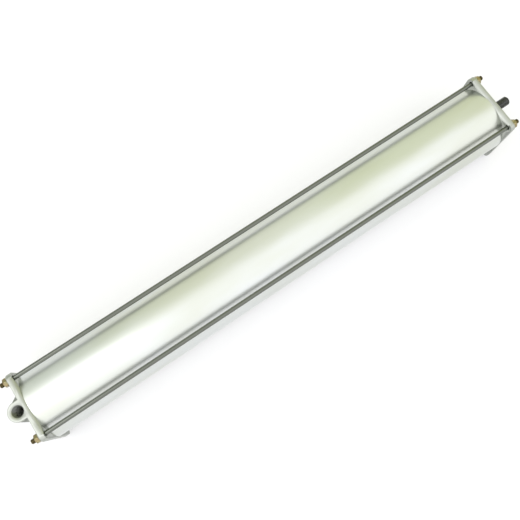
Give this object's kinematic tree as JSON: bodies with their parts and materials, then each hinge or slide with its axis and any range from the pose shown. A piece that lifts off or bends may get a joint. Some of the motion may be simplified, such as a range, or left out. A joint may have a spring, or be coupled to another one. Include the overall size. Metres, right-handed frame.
{
  "type": "tie-rod pneumatic cylinder",
  "caption": "Double-acting pneumatic cylinder: bright tube clamped between two square end covers by four tie rods, with side air ports and a threaded piston rod.",
  "frame": {"origin": "on the cylinder axis, at the outer face of the rear cover's plate", "axes": "+X along the axis towards the rod end, +Z the side that the rear air port faces, +Y the side that the front air port faces"},
  "size_m": [0.7301, 0.086, 0.086],
  "materials": {
    "tube": "drawn and bright anodised",
    "cover": "die-cast, shot-blasted",
    "tie_rod": "drawn and bright",
    "zinc_nut": "zinc plated, yellow chromate",
    "piston_rod": "ground, hard chromed, thread rolled and oiled",
    "piston": "turned",
    "bronze": "sintered",
    "spring_steel": "phosphated",
    "seal": "moulded nitrile",
    "bumper": "cast polyurethane",
    "guide": "moulded acetal"
  },
  "bodies": {
    "barrel": {"barrel_tube": "tube", "rear_cover": "cover", "front_cover": "cover", "rear_cover_seal": "seal", "front_cover_seal": "seal", "tie_rod_1": "tie_rod", "tie_rod_2": "tie_rod", "tie_rod_3": "tie_rod", "tie_rod_4": "tie_rod", "rear_nuts": "zinc_nut", "front_nuts": "zinc_nut", "rear_bumper": "bumper", "front_bumper": "bumper", "rod_bushing": "bronze", "rod_seal": "seal", "seal_retaining_ring": "spring_steel"},
    "piston_rod": {"piston_rod": "piston_rod", "piston": "piston", "rear_piston_seal": "seal", "front_piston_seal": "seal", "piston_guide_ring": "guide", "piston_oring": "seal", "piston_washer": "tie_rod", "piston_nut": "zinc_nut"}
  },
  "joints": [
    {"name": "rod_slide", "type": "slide", "parent": "barrel", "child": "piston_rod", "axis": [1, 0, 0], "range_m": [0, 0.6]}
  ]
}
